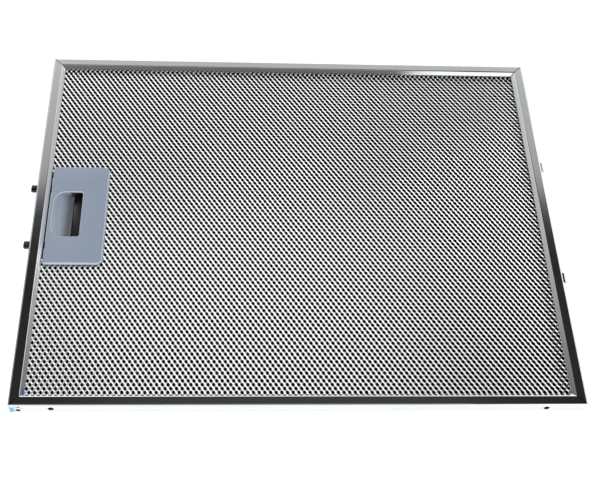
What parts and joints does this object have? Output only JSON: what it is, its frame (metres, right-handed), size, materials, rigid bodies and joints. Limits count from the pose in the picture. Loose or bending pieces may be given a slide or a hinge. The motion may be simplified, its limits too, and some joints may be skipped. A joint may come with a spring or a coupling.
{
  "type": "cooker hood filter",
  "caption": "Flat rectangular grease filter for a cooker hood: a folded metal frame riveted at one corner round expanded mesh, with a grey finger handle and a sprung latch on one short side.",
  "frame": {"origin": "centre of the frame's rear face, which the filter lies on", "axes": "+X along the long rails from the latch towards the fixed lugs, +Y across them towards the wall without drain holes, +Z out of the finger side"},
  "size_m": [0.3269, 0.2606, 0.008],
  "materials": {
    "frame_metal": "bright",
    "mesh_metal": "bright",
    "foil_metal": "satin",
    "handle_plastic": "fine matt",
    "latch_metal": "bright",
    "spring_steel": "bright"
  },
  "bodies": {
    "filter": {"frame": "frame_metal", "corner_rivet": "frame_metal", "front_mesh": "mesh_metal", "rear_mesh": "mesh_metal", "inner_foil_1": "foil_metal", "inner_foil_2": "foil_metal", "inner_foil_3": "foil_metal", "handle_plate": "handle_plastic", "handle_back": "handle_plastic", "latch_spring": "spring_steel"},
    "latch": {"latch_fork": "latch_metal"}
  },
  "joints": [
    {"name": "latch_slide", "type": "slide", "parent": "filter", "child": "latch", "axis": [1, 0, 0], "range_m": [0, 0.0045], "stiffness_N_per_m": 600, "springref_m": -0.003, "deforming": ["latch_spring"]}
  ]
}
